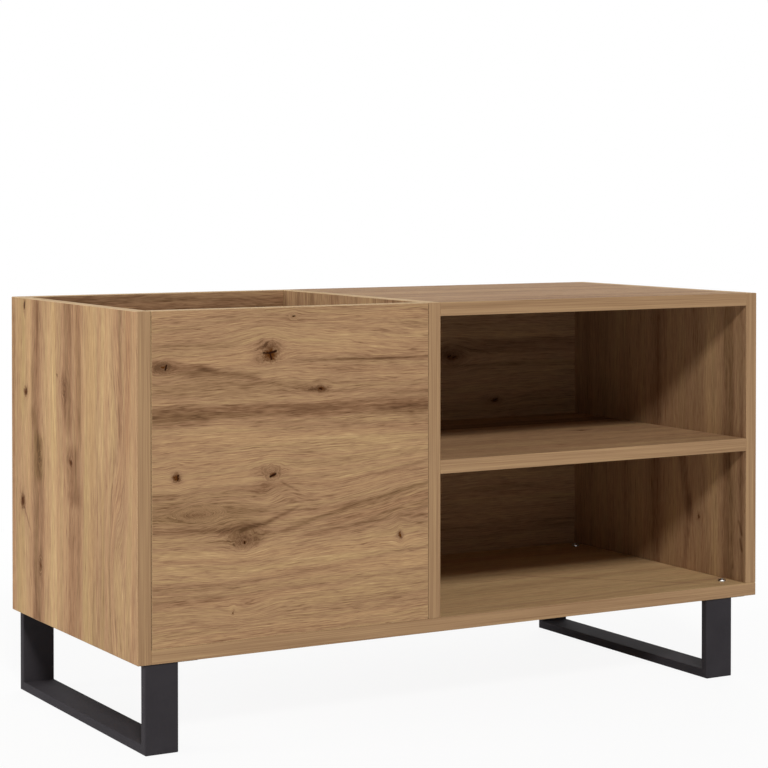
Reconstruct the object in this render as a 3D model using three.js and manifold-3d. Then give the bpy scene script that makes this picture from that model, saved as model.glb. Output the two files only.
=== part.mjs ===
import * as THREE from 'three';
import { mergeVertices } from 'three/addons/utils/BufferGeometryUtils.js';
import Module from 'manifold-3d';

// Record cabinet in millimetres.
// X runs to the right, Y to the back and Z up. The origin lies on the floor under the body's centre.

// Body
const cabinetWidth = 850;
const cabinetDepth = 380;
const bodyHeight = 383;
const legHeight = 99;
const boardThickness = 16;
const edgeChamfer = 0.5;
const recordBayWidth = 350;
const frontPanelSeam = 0.5;

// Back sheet of the shelf bay, lying in a rebate around the bay
const backSheetThickness = 3;
const backSheetLap = 8;
const backSheetPlay = 0.5;

// Leg frames of flat bar bent up into a U, with a mounting plate behind each upright
const legBarWidth = 40;
const legBarThickness = 10.5;
const legBarChamfer = 1;
const legSideInset = 9;
const legDepthInset = 2.5;
const legPlateWidth = 67.5;
const legPlateDepth = 30;
const legPlateThickness = 3;
const legPlateWeldDepth = 1;

// Bolts that hold the mounting plates, with their nuts
const legBoltOffset = 44.5;
const legBoltDiameter = 6;
const legBoltHeadDiameter = 10.5;
const legBoltHeadHeight = 3.5;
const legBoltHeadRim = 0.75;
const legBoltSocketSize = 4;
const legBoltSocketDepth = 2;
const legBoltTail = 2;
const legNutSize = 10;
const legNutHeight = 5;

// Cam fittings that draw the boards together
const camDiameter = 15;
const camSetback = 24;
const camSkin = 3.5;
const camSlotWidth = 2;
const camSlotLength = 9;
const camSlotDepth = 1.5;
const camPocketReach = 4;
const camBoltDiameter = 6;
const camBoltHeadDiameter = 7;
const camBoltNeckDiameter = 4;
const camBoltHeadLength = 3;
const camBoltNeckLength = 3;
const camBoltThreadDiameter = 5;
const camBoltSkin = 5;
const camBoltChamfer = 1;
const endBoreDiameter = 8;

// Places of the cam fittings, from the edges of the boards
const shelfCamInset = 60;
const bottomCamInset = 85;
const panelCamInset = 60;

// Screws that hold the two standing panels from below
const panelScrewInset = 50;
const panelScrewLength = 50;
const panelScrewHeadDiameter = 10;
const panelScrewHeadHeight = 4;
const panelScrewShankDiameter = 7;
const panelScrewShankLength = 12;
const panelScrewThreadDiameter = 5;
const panelScrewTipLength = 4;
const panelScrewSocketSize = 4;
const panelScrewSocketDepth = 2.5;

// Clearances and numbers of sides
const fittingGap = 0.3;
const cutOverrun = 5;
const camSides = 16;
const boreSides = 8;
const legBoltSides = 12;
const legBoltDomeSteps = 4;
const hexSides = 6;

// Derived places
const halfWidth = cabinetWidth / 2;
const halfDepth = cabinetDepth / 2;
const frontY = -halfDepth;
const backY = halfDepth;
const undersideZ = legHeight;
const floorZ = undersideZ + boardThickness;
const topZ = legHeight + bodyHeight;
const leftInnerX = -halfWidth + boardThickness;
const dividerLeftX = leftInnerX + recordBayWidth;
const dividerRightX = dividerLeftX + boardThickness;
const rightInnerX = halfWidth - boardThickness;
const topPanelBottomZ = topZ - boardThickness;
const shelfBottomZ = (floorZ + topPanelBottomZ - boardThickness) / 2;
const shelfTopZ = shelfBottomZ + boardThickness;
const sheetFrontY = backY - backSheetThickness;
const middleOfBoard = boardThickness / 2;

// Finishes
const oakFace = { color: 0xa28060, roughness: 0.62, metalness: 0 };
const oakBackSheet = { color: 0x9b7a5b, roughness: 0.7, metalness: 0 };
const anthraciteCoat = { color: 0x3a383b, roughness: 0.55, metalness: 0.3 };
const zincCast = { color: 0xb4b6b8, roughness: 0.4, metalness: 0.9 };
const zincSteel = { color: 0xc2c4c4, roughness: 0.3, metalness: 1 };

const wasm = await Module();
wasm.setup();

// A closed geometry as a solid, with its corners merged
function toSolid(geometry) {
  const bare = geometry.clone();
  bare.deleteAttribute('normal');
  bare.deleteAttribute('uv');
  const merged = mergeVertices(bare);
  return new wasm.Manifold(new wasm.Mesh({
    numProp: 3,
    vertProperties: new Float32Array(merged.attributes.position.array),
    triVerts: new Uint32Array(merged.index.array),
  }));
}

// A solid as a flat-shaded geometry
function toGeometry(solid) {
  const mesh = solid.getMesh();
  const indexed = new THREE.BufferGeometry();
  indexed.setAttribute('position', new THREE.BufferAttribute(mesh.vertProperties, 3));
  indexed.setIndex(new THREE.BufferAttribute(mesh.triVerts, 1));
  const flat = indexed.toNonIndexed();
  flat.computeVertexNormals();
  return flat;
}

function subtractAll(geometry, cutGeometries) {
  let solid = toSolid(geometry);
  for (const cut of cutGeometries) {
    solid = solid.subtract(toSolid(cut));
  }
  return toGeometry(solid);
}

function joinAll(geometries) {
  let solid = toSolid(geometries[0]);
  for (const geometry of geometries.slice(1)) {
    solid = solid.add(toSolid(geometry));
  }
  return toGeometry(solid);
}

function makeMesh(name, geometry, finish) {
  const mesh = new THREE.Mesh(geometry, new THREE.MeshStandardMaterial(finish));
  mesh.name = name;
  return mesh;
}

// A box between two corners
function boxBetween(low, high) {
  const size = new THREE.Vector3().subVectors(high, low);
  const centre = new THREE.Vector3().addVectors(low, high).multiplyScalar(1 / 2);
  const box = new THREE.BoxGeometry(size.x, size.y, size.z);
  return box.translate(centre.x, centre.y, centre.z);
}

// A box of the given size around its own centre, with every edge chamfered
function chamferedBox(sizeX, sizeY, sizeZ, chamfer) {
  const halfX = sizeX / 2 - chamfer;
  const halfY = sizeY / 2 - chamfer;
  const outline = new THREE.Shape();
  outline.moveTo(-halfX - chamfer, -halfY);
  outline.lineTo(-halfX, -halfY - chamfer);
  outline.lineTo(halfX, -halfY - chamfer);
  outline.lineTo(halfX + chamfer, -halfY);
  outline.lineTo(halfX + chamfer, halfY);
  outline.lineTo(halfX, halfY + chamfer);
  outline.lineTo(-halfX, halfY + chamfer);
  outline.lineTo(-halfX - chamfer, halfY);
  outline.closePath();
  const straight = sizeZ - 2 * chamfer;
  const extruded = new THREE.ExtrudeGeometry(outline, {
    depth: straight,
    bevelEnabled: true,
    bevelThickness: chamfer,
    bevelSize: chamfer,
    bevelOffset: -chamfer,
    bevelSegments: 1,
  });
  return extruded.translate(0, 0, -straight / 2);
}

// A turned piece along +X from a profile of [place along the axis, radius]
function turned(profile, sides) {
  const points = profile.map(([along, radius]) => new THREE.Vector2(radius, along));
  return new THREE.LatheGeometry(points, sides).rotateZ(-Math.PI / 2);
}

// A round bar or bore along +X
function roundAlongX(diameter, start, end, sides) {
  const radius = diameter / 2;
  return turned([[start, 0], [start, radius], [end, radius], [end, 0]], sides);
}

// A hexagonal bar along +X, measured across its flats
function hexAlongX(acrossFlats, start, end) {
  const acrossCorners = acrossFlats / Math.cos(Math.PI / hexSides);
  return roundAlongX(acrossCorners, start, end, hexSides);
}

const cabinet = new THREE.Group();

// Cuts in each board, in the cabinet's own frame
const boardCuts = {
  left_side_panel: [],
  right_side_panel: [],
  centre_divider: [],
  bottom_panel: [],
  top_panel: [],
  middle_shelf: [],
  record_bay_front_panel: [],
  record_bay_back_panel: [],
};

function placeCut(boardName, geometry, frame) {
  boardCuts[boardName].push(geometry.clone().applyMatrix4(frame));
}

// A frame at a point, with its X axis along one direction and its Z axis along another
function frameAt(point, alongX, alongZ) {
  const alongY = new THREE.Vector3().crossVectors(alongZ, alongX);
  return new THREE.Matrix4().makeBasis(alongX, alongY, alongZ).setPosition(point);
}

function groupAt(frame, meshes) {
  const group = new THREE.Group();
  frame.decompose(group.position, group.quaternion, group.scale);
  group.add(...meshes);
  cabinet.add(group);
}

const right = new THREE.Vector3(1, 0, 0);
const left = new THREE.Vector3(-1, 0, 0);
const back = new THREE.Vector3(0, 1, 0);
const up = new THREE.Vector3(0, 0, 1);
const down = new THREE.Vector3(0, 0, -1);

// One cam fitting. Its frame lies on the meeting face, at mid thickness of the board that
// butts there: X runs into that board, and Z runs out of the face that the cam is turned from.
const camBoreDepth = boardThickness - camSkin;
const camHeight = camBoreDepth - fittingGap;
const camBoltEnd = camSetback + camPocketReach - fittingGap;
const camBoltHeadStart = camBoltEnd - camBoltHeadLength;
const camBoltNeckStart = camBoltHeadStart - camBoltNeckLength;
const camBoltThreadEnd = boardThickness - camBoltSkin - fittingGap;

function camHousingGeometry() {
  const radius = camDiameter / 2;
  const body = roundAlongX(camDiameter, 0, camHeight, camSides);
  body.rotateY(Math.PI / 2);
  body.translate(camSetback, 0, middleOfBoard);
  const pocketStart = camSetback - radius - cutOverrun;
  const pocket = roundAlongX(endBoreDiameter, pocketStart, camSetback + camPocketReach, boreSides);
  const slotFloor = middleOfBoard - camSlotDepth;
  const slotTop = middleOfBoard + cutOverrun;
  const slots = [[camSlotLength, camSlotWidth], [camSlotWidth, camSlotLength]].map(([sizeX, sizeY]) =>
    boxBetween(
      new THREE.Vector3(camSetback - sizeX / 2, -sizeY / 2, slotFloor),
      new THREE.Vector3(camSetback + sizeX / 2, sizeY / 2, slotTop),
    ));
  return subtractAll(body, [pocket, ...slots]);
}

function camBoltGeometry() {
  const threadRadius = camBoltThreadDiameter / 2;
  return turned([
    [-camBoltThreadEnd, 0],
    [-camBoltThreadEnd, threadRadius - camBoltChamfer],
    [-camBoltThreadEnd + camBoltChamfer, threadRadius],
    [0, threadRadius],
    [0, camBoltDiameter / 2],
    [camBoltNeckStart, camBoltDiameter / 2],
    [camBoltNeckStart, camBoltNeckDiameter / 2],
    [camBoltHeadStart, camBoltNeckDiameter / 2],
    [camBoltHeadStart, camBoltHeadDiameter / 2],
    [camBoltEnd, camBoltHeadDiameter / 2],
    [camBoltEnd, 0],
  ], boreSides);
}

const camHousingBore = roundAlongX(camDiameter + 2 * fittingGap, 0, camBoreDepth + cutOverrun, camSides)
  .rotateY(Math.PI / 2)
  .translate(camSetback, 0, middleOfBoard + cutOverrun);
const camEndBore = roundAlongX(endBoreDiameter, -cutOverrun, camSetback, boreSides);
const camThreadBore = roundAlongX(
  camBoltThreadDiameter + 2 * fittingGap,
  -camBoltThreadEnd - fittingGap,
  cutOverrun,
  boreSides,
);
const camHousing = camHousingGeometry();
const camBolt = camBoltGeometry();

function addCamFitting(place, buttingBoard, carryingBoard, point, into, openTo) {
  const frame = frameAt(point, into, openTo);
  placeCut(buttingBoard, camHousingBore, frame);
  placeCut(buttingBoard, camEndBore, frame);
  placeCut(carryingBoard, camThreadBore, frame);
  groupAt(frame, [
    makeMesh(`cam_housing_${place}`, camHousing, zincCast),
    makeMesh(`cam_bolt_${place}`, camBolt, zincSteel),
  ]);
}

// Horizontal boards: a cam fitting near the front and one near the back at each end
const rows = [['front', -1], ['back', 1]];
const shelfCamY = halfDepth - shelfCamInset;
const bottomCamY = halfDepth - bottomCamInset;
for (const [row, side] of rows) {
  for (const [board, label, z] of [
    ['top_panel', 'top', topPanelBottomZ + middleOfBoard],
    ['middle_shelf', 'shelf', shelfBottomZ + middleOfBoard],
  ]) {
    const leftEnd = new THREE.Vector3(dividerRightX, side * shelfCamY, z);
    const rightEnd = new THREE.Vector3(rightInnerX, side * shelfCamY, z);
    addCamFitting(`${label}_left_${row}`, board, 'centre_divider', leftEnd, right, down);
    addCamFitting(`${label}_right_${row}`, board, 'right_side_panel', rightEnd, left, down);
  }
  const bottomEnd = new THREE.Vector3(leftInnerX, side * bottomCamY, undersideZ + middleOfBoard);
  addCamFitting(`bottom_${row}`, 'bottom_panel', 'left_side_panel', bottomEnd, right, down);
}

// Standing panels of the record bay: cams turned from the inside in front and from the rear behind
const panelRows = [['low', floorZ + panelCamInset], ['high', topZ - panelCamInset]];
for (const [row, z] of panelRows) {
  for (const [board, label, y] of [
    ['record_bay_front_panel', 'front_panel', frontY + middleOfBoard],
    ['record_bay_back_panel', 'back_panel', backY - middleOfBoard],
  ]) {
    const leftEnd = new THREE.Vector3(leftInnerX, y, z);
    const rightEnd = new THREE.Vector3(dividerLeftX, y, z);
    addCamFitting(`${label}_left_${row}`, board, 'left_side_panel', leftEnd, right, back);
    addCamFitting(`${label}_right_${row}`, board, 'centre_divider', rightEnd, left, back);
  }
}

// Panel screws, driven up through the bottom panel into the two standing boards.
// The frame's X axis runs up from the underside.
const screwHeadRadius = panelScrewHeadDiameter / 2;
const screwShankRadius = panelScrewShankDiameter / 2;
const screwThreadRadius = panelScrewThreadDiameter / 2;
const screwShankEnd = panelScrewHeadHeight + panelScrewShankLength;

function panelScrewGeometry() {
  const body = turned([
    [0, 0],
    [0, screwHeadRadius],
    [panelScrewHeadHeight, screwShankRadius],
    [screwShankEnd, screwShankRadius],
    [screwShankEnd, screwThreadRadius],
    [panelScrewLength - panelScrewTipLength, screwThreadRadius],
    [panelScrewLength, 0],
  ], boreSides);
  const socket = hexAlongX(panelScrewSocketSize, -cutOverrun, panelScrewSocketDepth);
  return subtractAll(body, [socket]);
}

const panelScrew = panelScrewGeometry();
const panelScrewBore = turned([
  [-cutOverrun, 0],
  [-cutOverrun, screwHeadRadius + fittingGap],
  [0, screwHeadRadius + fittingGap],
  [panelScrewHeadHeight, screwShankRadius + fittingGap],
  [screwShankEnd + fittingGap, screwShankRadius + fittingGap],
  [screwShankEnd + fittingGap, screwThreadRadius + fittingGap],
  [panelScrewLength + fittingGap, screwThreadRadius + fittingGap],
  [panelScrewLength + fittingGap, 0],
], boreSides);

const panelScrewY = halfDepth - panelScrewInset;
for (const [row, side] of rows) {
  for (const [board, label, x] of [
    ['centre_divider', 'divider', dividerLeftX + middleOfBoard],
    ['right_side_panel', 'right_side', rightInnerX + middleOfBoard],
  ]) {
    const frame = frameAt(new THREE.Vector3(x, side * panelScrewY, undersideZ), up, right);
    placeCut(board, panelScrewBore, frame);
    placeCut('bottom_panel', panelScrewBore, frame);
    groupAt(frame, [makeMesh(`panel_screw_${label}_${row}`, panelScrew, zincSteel)]);
  }
}

// Leg frames
const legHalfDepth = halfDepth - legDepthInset;
const legInnerHalfDepth = legHalfDepth - legBarThickness;

// The U of flat bar, seen along X and extruded over the bar's width
function legBarGeometry() {
  const chamfer = legBarChamfer;
  const outer = legHalfDepth - chamfer;
  const inner = legInnerHalfDepth + chamfer;
  const low = chamfer;
  const gapFloor = legBarThickness - chamfer;
  const high = legHeight - chamfer;
  const outline = new THREE.Shape();
  outline.moveTo(-outer, low);
  outline.lineTo(outer, low);
  outline.lineTo(outer, high);
  outline.lineTo(inner, high);
  outline.lineTo(inner, gapFloor);
  outline.lineTo(-inner, gapFloor);
  outline.lineTo(-inner, high);
  outline.lineTo(-outer, high);
  outline.closePath();
  const bar = new THREE.ExtrudeGeometry(outline, {
    depth: legBarWidth - 2 * chamfer,
    bevelEnabled: true,
    bevelThickness: chamfer,
    bevelSize: chamfer,
    bevelSegments: 1,
  });
  const turn = new THREE.Matrix4().makeBasis(back, up, right);
  return bar.applyMatrix4(turn).translate(chamfer, 0, 0);
}

// A mounting plate behind one upright, from the bar's outer edge to past its inner edge
function legPlateGeometry(side) {
  const weldedY = side * (legInnerHalfDepth + legPlateWeldDepth);
  const freeY = side * (legInnerHalfDepth - legPlateDepth);
  return boxBetween(
    new THREE.Vector3(0, Math.min(weldedY, freeY), legHeight - legPlateThickness),
    new THREE.Vector3(legPlateWidth, Math.max(weldedY, freeY), legHeight),
  );
}

const legBoltY = legInnerHalfDepth - legPlateDepth / 2;
const legBoltClearDiameter = legBoltDiameter + 2 * fittingGap;

function legFrameGeometry() {
  const solid = joinAll([legBarGeometry(), legPlateGeometry(-1), legPlateGeometry(1)]);
  const holes = rows.map(([, side]) => {
    const hole = roundAlongX(legBoltClearDiameter, -cutOverrun, legPlateThickness + cutOverrun, legBoltSides);
    hole.rotateY(-Math.PI / 2);
    return hole.translate(legBoltOffset, side * legBoltY, legHeight - legPlateThickness);
  });
  return subtractAll(solid, holes);
}

// A domed bolt head on the bay floor, its shank down through the board and the plate
const legBoltReach = boardThickness + legPlateThickness + legNutHeight + legBoltTail;

function legBoltGeometry() {
  const headRadius = legBoltHeadDiameter / 2;
  const domeHeight = legBoltHeadHeight - legBoltHeadRim;
  const dome = [];
  for (let step = 0; step <= legBoltDomeSteps; step += 1) {
    const angle = (step / legBoltDomeSteps) * (Math.PI / 2);
    dome.push([-legBoltHeadRim - domeHeight * Math.cos(angle), headRadius * Math.sin(angle)]);
  }
  const body = turned([
    ...dome,
    [0, headRadius],
    [0, legBoltDiameter / 2],
    [legBoltReach, legBoltDiameter / 2],
    [legBoltReach, 0],
  ], legBoltSides);
  const socketTop = -legBoltHeadHeight - cutOverrun;
  const socket = hexAlongX(legBoltSocketSize, socketTop, -legBoltHeadHeight + legBoltSocketDepth);
  return subtractAll(body, [socket]);
}

function legNutGeometry() {
  const body = hexAlongX(legNutSize, 0, legNutHeight);
  const bore = roundAlongX(legBoltClearDiameter, -cutOverrun, legNutHeight + cutOverrun, legBoltSides);
  return subtractAll(body, [bore]);
}

const legFrame = legFrameGeometry();
const legBolt = legBoltGeometry();
const legNut = legNutGeometry();
const legBoltBore = roundAlongX(legBoltClearDiameter, -cutOverrun, boardThickness + cutOverrun, legBoltSides);
const legPlaces = [
  ['left', -halfWidth + legSideInset],
  ['right', halfWidth - legSideInset - legPlateWidth],
];
for (const [label, x] of legPlaces) {
  const leg = makeMesh(`${label}_leg_frame`, legFrame, anthraciteCoat);
  leg.position.x = x;
  cabinet.add(leg);
  for (const [row, side] of rows) {
    const boltX = x + legBoltOffset;
    const headFrame = frameAt(new THREE.Vector3(boltX, side * legBoltY, floorZ), down, right);
    const nutPoint = new THREE.Vector3(boltX, side * legBoltY, undersideZ - legPlateThickness);
    placeCut('bottom_panel', legBoltBore, headFrame);
    groupAt(headFrame, [makeMesh(`leg_bolt_${label}_${row}`, legBolt, zincSteel)]);
    groupAt(frameAt(nutPoint, down, right), [makeMesh(`leg_nut_${label}_${row}`, legNut, zincSteel)]);
  }
}

// Rebate for the back sheet, cut into the four boards around the shelf bay
const sheetLow = new THREE.Vector3(
  dividerRightX - backSheetLap,
  sheetFrontY,
  floorZ - backSheetLap,
);
const sheetHigh = new THREE.Vector3(
  rightInnerX + backSheetLap,
  backY,
  topPanelBottomZ + backSheetLap,
);
const rebate = boxBetween(
  new THREE.Vector3(sheetLow.x - backSheetPlay, sheetFrontY, sheetLow.z - backSheetPlay),
  new THREE.Vector3(sheetHigh.x + backSheetPlay, backY + cutOverrun, sheetHigh.z + backSheetPlay),
);
for (const board of ['centre_divider', 'right_side_panel', 'bottom_panel', 'top_panel']) {
  boardCuts[board].push(rebate);
}

// Boards, each between two corners
function addBoard(name, low, high) {
  const size = new THREE.Vector3().subVectors(high, low);
  const centre = new THREE.Vector3().addVectors(low, high).multiplyScalar(1 / 2);
  const blank = chamferedBox(size.x, size.y, size.z, edgeChamfer);
  const cuts = boardCuts[name].map((cut) => cut.clone().translate(-centre.x, -centre.y, -centre.z));
  const board = makeMesh(name, subtractAll(blank, cuts), oakFace);
  board.position.copy(centre);
  cabinet.add(board);
}

addBoard(
  'left_side_panel',
  new THREE.Vector3(-halfWidth, frontY, undersideZ),
  new THREE.Vector3(leftInnerX, backY, topZ),
);
addBoard(
  'bottom_panel',
  new THREE.Vector3(leftInnerX, frontY, undersideZ),
  new THREE.Vector3(halfWidth, backY, floorZ),
);
addBoard(
  'right_side_panel',
  new THREE.Vector3(rightInnerX, frontY, floorZ),
  new THREE.Vector3(halfWidth, backY, topZ),
);
addBoard(
  'centre_divider',
  new THREE.Vector3(dividerLeftX, frontY, floorZ),
  new THREE.Vector3(dividerRightX, backY, topZ),
);
addBoard(
  'top_panel',
  new THREE.Vector3(dividerRightX, frontY, topPanelBottomZ),
  new THREE.Vector3(rightInnerX, backY, topZ),
);
addBoard(
  'middle_shelf',
  new THREE.Vector3(dividerRightX, frontY, shelfBottomZ),
  new THREE.Vector3(rightInnerX, sheetFrontY, shelfTopZ),
);
addBoard(
  'record_bay_front_panel',
  new THREE.Vector3(leftInnerX + frontPanelSeam, frontY, floorZ),
  new THREE.Vector3(dividerLeftX - frontPanelSeam, frontY + boardThickness, topZ),
);
addBoard(
  'record_bay_back_panel',
  new THREE.Vector3(leftInnerX, backY - boardThickness, floorZ),
  new THREE.Vector3(dividerLeftX, backY, topZ),
);
cabinet.add(makeMesh('shelf_bay_back_panel', boxBetween(sheetLow, sheetHigh), oakBackSheet));

export default cabinet;
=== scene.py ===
"""Looks of the record cabinet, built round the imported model. Row frame in metres, unless a name says mm."""

import math
import random
from collections import namedtuple

import bmesh
import bpy
from mathutils import Matrix, Vector


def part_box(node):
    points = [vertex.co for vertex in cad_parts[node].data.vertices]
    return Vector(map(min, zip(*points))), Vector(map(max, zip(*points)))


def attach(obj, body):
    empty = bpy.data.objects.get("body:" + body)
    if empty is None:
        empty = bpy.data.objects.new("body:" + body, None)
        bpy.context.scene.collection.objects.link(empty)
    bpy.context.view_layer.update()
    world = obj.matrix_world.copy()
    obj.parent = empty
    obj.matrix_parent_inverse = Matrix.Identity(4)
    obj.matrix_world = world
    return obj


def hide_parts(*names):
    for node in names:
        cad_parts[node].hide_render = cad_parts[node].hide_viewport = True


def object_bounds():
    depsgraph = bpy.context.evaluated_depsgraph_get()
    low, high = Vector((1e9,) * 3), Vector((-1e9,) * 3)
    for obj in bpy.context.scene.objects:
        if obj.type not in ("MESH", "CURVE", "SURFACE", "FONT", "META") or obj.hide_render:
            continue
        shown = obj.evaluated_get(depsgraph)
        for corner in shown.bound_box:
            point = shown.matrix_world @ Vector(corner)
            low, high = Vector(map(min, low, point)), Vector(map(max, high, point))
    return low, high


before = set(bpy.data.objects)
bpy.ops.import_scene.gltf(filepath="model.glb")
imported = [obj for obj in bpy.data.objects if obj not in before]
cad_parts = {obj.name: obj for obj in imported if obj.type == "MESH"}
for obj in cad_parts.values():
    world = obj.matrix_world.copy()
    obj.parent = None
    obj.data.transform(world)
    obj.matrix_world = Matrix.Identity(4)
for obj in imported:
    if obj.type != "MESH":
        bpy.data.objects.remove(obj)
CAD_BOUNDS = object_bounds()
MM = 0.001
AXES = "xyz"

# Camera, fitted to the photo's edges
FRAME_PIXELS = 768
SENSOR_MM = 36.0
LENS_PIXELS = 2230.48
CAMERA_PLACE = Vector((-1.39184, -2.39528, 0.61535))
CAMERA_TURN = 0.52349
CAMERA_TILT = 0.01931
CAMERA_SHIFT = -0.2

# Lamps, aimed at the middle of the object, and the world's light
Lamp = namedtuple("Lamp", "place size power mirrored")
LAMPS = {
    "key": Lamp((-3.0, -8.0, 6.6), 1.5, 655, True),
    "side": Lamp((-4.8, 0.7, 1.5), 2.0, 108, True),
    "rear": Lamp((3.6, 4.6, 2.6), 3.0, 150, False),
}
LAMP_TARGET = Vector((0, 0, 0.25))
WORLD_STRENGTH = 0.23

# Floor: its half size, and how white the camera sees it near and far, with the fade's radii in mm
FLOOR_REACH = 12
FLOOR_WHITE_NEAR = 0.91
FLOOR_WHITE_FAR = 1.0
FLOOR_FADE = (500, 1400)

# The planes that the photo's marks are placed on
FRONT_Y = CAD_BOUNDS[0].y
LEFT_X = CAD_BOUNDS[0].x
FLOOR_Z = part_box("bottom_panel")[1].z
RIGHT_WALL_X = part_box("right_side_panel")[0].x

# Boards. A corner of the mesh lies on an arris where it is within NEAR_ARRIS of two sides of the box.
BAND_THICK = 0.4 * MM
ARRIS_ROUND = 0.18 * MM
NEAR_ARRIS = 0.62 * MM
ON_SIDE = 0.1 * MM
SQUARE_FACE = 0.98
CHAMFER_TURN = math.radians(40), math.radians(50)

# Clean copies of the CAD shapes
DOUBLED_CORNERS = 0.01 * MM
FLAT_TURN = math.radians(0.5)

# Leg frames. Their long edges are rounded.
LEG_ARRIS_LENGTH = 8 * MM
LEG_ARRIS_ROUND = 0.25 * MM
LEG_ARRIS_TURN = math.radians(35), math.radians(50)

# Fittings and pins. DOME_TURN is the turn from one ring of a dome to the next, in degrees.
ROUND_STEPS = 48
RINGS_PER_TURN = 4
DOME_STEPS = 8
DOME_TURN = 7.7
SMOOTH_TURN = math.radians(32)
PIN_RISE = 0.3 * MM
PIN_SPACING = 78 * MM
PIN_BORDER = 4 * MM

# Marks strewn over faces that the photo doesn't show: their numbers, and their places in mm
STREWN_KNOTS = 3
STREWN_STREAKS = 6
STREAK_OVERRUN = 120
LENGTH, DEPTH, HEIGHT = (-420, 420), (-190, 190), (100, 480)
RECORD_BAY, SHELF_BAY = (-409, -59), (-40, 400)


def make_camera():
    camera = bpy.data.cameras.new("camera")
    camera.sensor_width = SENSOR_MM
    camera.lens = LENS_PIXELS / FRAME_PIXELS * SENSOR_MM
    camera.shift_y = CAMERA_SHIFT
    holder = bpy.data.objects.new("camera", camera)
    holder.location = CAMERA_PLACE
    holder.rotation_euler = (math.pi / 2 - CAMERA_TILT, 0, -CAMERA_TURN)
    bpy.context.scene.collection.objects.link(holder)
    bpy.context.scene.camera = holder


def photo_point(px, py, axis, value):
    """The point, in mm, where the sight line of a photo pixel meets the plane at that value of the axis."""
    level = Vector((math.sin(CAMERA_TURN), math.cos(CAMERA_TURN), 0))
    right = Vector((math.cos(CAMERA_TURN), -math.sin(CAMERA_TURN), 0))
    ahead = level * math.cos(CAMERA_TILT) - Vector((0, 0, 1)) * math.sin(CAMERA_TILT)
    up = right.cross(ahead)
    middle = FRAME_PIXELS / 2
    row = middle + FRAME_PIXELS * CAMERA_SHIFT
    sight = ahead + right * ((px - middle) / LENS_PIXELS) + up * ((row - py) / LENS_PIXELS)
    i = AXES.index(axis)
    return (CAMERA_PLACE + sight * ((value - CAMERA_PLACE[i]) / sight[i])) / MM


def on_front(px, py):
    point = photo_point(px, py, "y", FRONT_Y)
    return point.x, point.z


def on_left(px, py):
    point = photo_point(px, py, "x", LEFT_X)
    return point.z, point.y


def on_right_wall(px, py):
    point = photo_point(px, py, "x", RIGHT_WALL_X)
    return point.z, point.y


def on_floor(px, py):
    point = photo_point(px, py, "z", FLOOR_Z)
    return point.x, point.y


def paint(red, green, blue):
    """A colour given as it shows on screen, from 0 to 255, as the shader wants it."""
    def linear(value):
        share = value / 255
        return share / 12.92 if share <= 0.04045 else ((share + 0.055) / 1.055) ** 2.4
    return (linear(red), linear(green), linear(blue), 1.0)


class Num:
    """A number that a node tree works out. Sums and products of it add nodes."""

    def __init__(self, tree, socket):
        self.tree = tree
        self.socket = socket

    def __add__(self, other):
        return self.tree.math("ADD", self, other)

    def __sub__(self, other):
        return self.tree.math("SUBTRACT", self, other)

    def __rsub__(self, other):
        return self.tree.math("SUBTRACT", other, self)

    def __mul__(self, other):
        return self.tree.math("MULTIPLY", self, other)

    def __truediv__(self, other):
        return self.tree.math("DIVIDE", self, other)

    __radd__ = __add__
    __rmul__ = __mul__

    def step(self, start, end, low=0.0, high=1.0):
        """Runs smoothly from low at start to high at end."""
        made = self.tree.node("ShaderNodeMapRange", interpolation_type="SMOOTHSTEP")
        for socket, value in zip(made.inputs, (self, start, end, low, high)):
            self.tree.feed(socket, value)
        return Num(self.tree, made.outputs[0])

    def hill(self, width):
        """1 where the number is 0, falling off as a bell of that width."""
        scaled = self / width
        return self.tree.math("EXPONENT", scaled * scaled * -1.0)

    def plateau(self, width):
        """1 where the number is near 0, with a flat top and steep sides at that width."""
        scaled = self / width
        square = scaled * scaled
        return self.tree.math("EXPONENT", square * square * -1.0)

    def positive(self):
        return self.tree.math("MAXIMUM", self, 0.0)


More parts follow.
